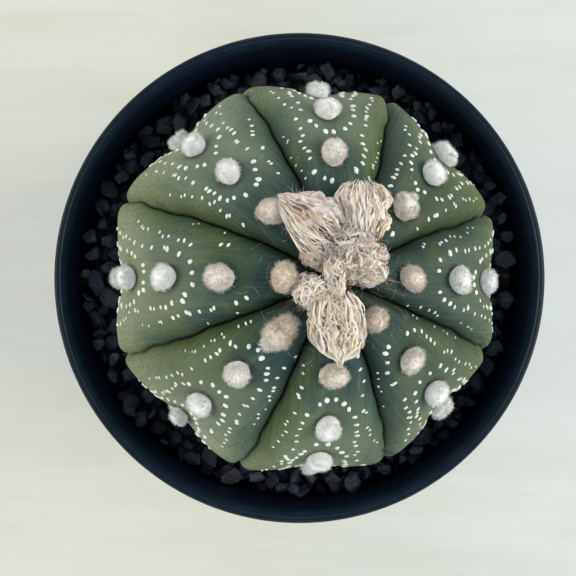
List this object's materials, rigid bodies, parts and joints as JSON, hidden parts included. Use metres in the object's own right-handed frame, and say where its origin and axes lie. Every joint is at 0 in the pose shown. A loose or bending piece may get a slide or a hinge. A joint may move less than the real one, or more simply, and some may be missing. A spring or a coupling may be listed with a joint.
{
  "type": "potted star cactus",
  "caption": "Spineless star cactus with ribs, felt areoles and dried flowers, leaning in black grit in a round nursery pot.",
  "frame": {"origin": "middle of the pot's foot ring, on the surface it stands on", "axes": "+Z up along the pot's axis; +X the way the plant leans, which is to the right when the pot is seen from above with +Y up"},
  "size_m": [0.09, 0.09, 0.1048],
  "materials": {
    "black_plastic": "satin",
    "potting_mix": "matte",
    "lava_gravel": "matte",
    "cactus_skin": "satin",
    "felt": "matte",
    "dried_petals": "matte"
  },
  "bodies": {
    "root": {"cactus_body": "cactus_skin", "crown_wool": "felt", "dried_flower_east": "dried_petals", "dried_flower_ne": "dried_petals", "dried_flower_nw": "dried_petals", "dried_flower_south": "dried_petals", "dried_flower_west": "dried_petals", "gravel_bed": "lava_gravel", "pot": "black_plastic", "potting_mix": "potting_mix", "stone_1": "lava_gravel", "stone_2": "lava_gravel", "stone_3": "lava_gravel", "stone_4": "lava_gravel", "stone_5": "lava_gravel", "stone_6": "lava_gravel", "stone_7": "lava_gravel", "stone_8": "lava_gravel", "wool_tuft_00": "felt", "wool_tuft_01": "felt", "wool_tuft_03": "felt", "wool_tuft_04": "felt", "wool_tuft_05": "felt", "wool_tuft_06": "felt", "wool_tuft_07": "felt", "wool_tuft_08": "felt", "wool_tuft_09": "felt", "wool_tuft_10": "felt", "wool_tuft_11": "felt", "wool_tuft_12": "felt", "wool_tuft_13": "felt", "wool_tuft_14": "felt", "wool_tuft_15": "felt", "wool_tuft_16": "felt", "wool_tuft_17": "felt", "wool_tuft_18": "felt", "wool_tuft_19": "felt", "wool_tuft_20": "felt", "wool_tuft_21": "felt", "wool_tuft_22": "felt", "wool_tuft_23": "felt", "wool_tuft_24": "felt", "wool_tuft_25": "felt", "wool_tuft_26": "felt", "wool_tuft_27": "felt", "wool_tuft_28": "felt", "wool_tuft_29": "felt", "wool_tuft_30": "felt", "wool_tuft_31": "felt", "wool_tuft_32": "felt", "wool_tuft_34": "felt", "wool_tuft_35": "felt", "wool_tuft_37": "felt"}
  },
  "joints": []
}
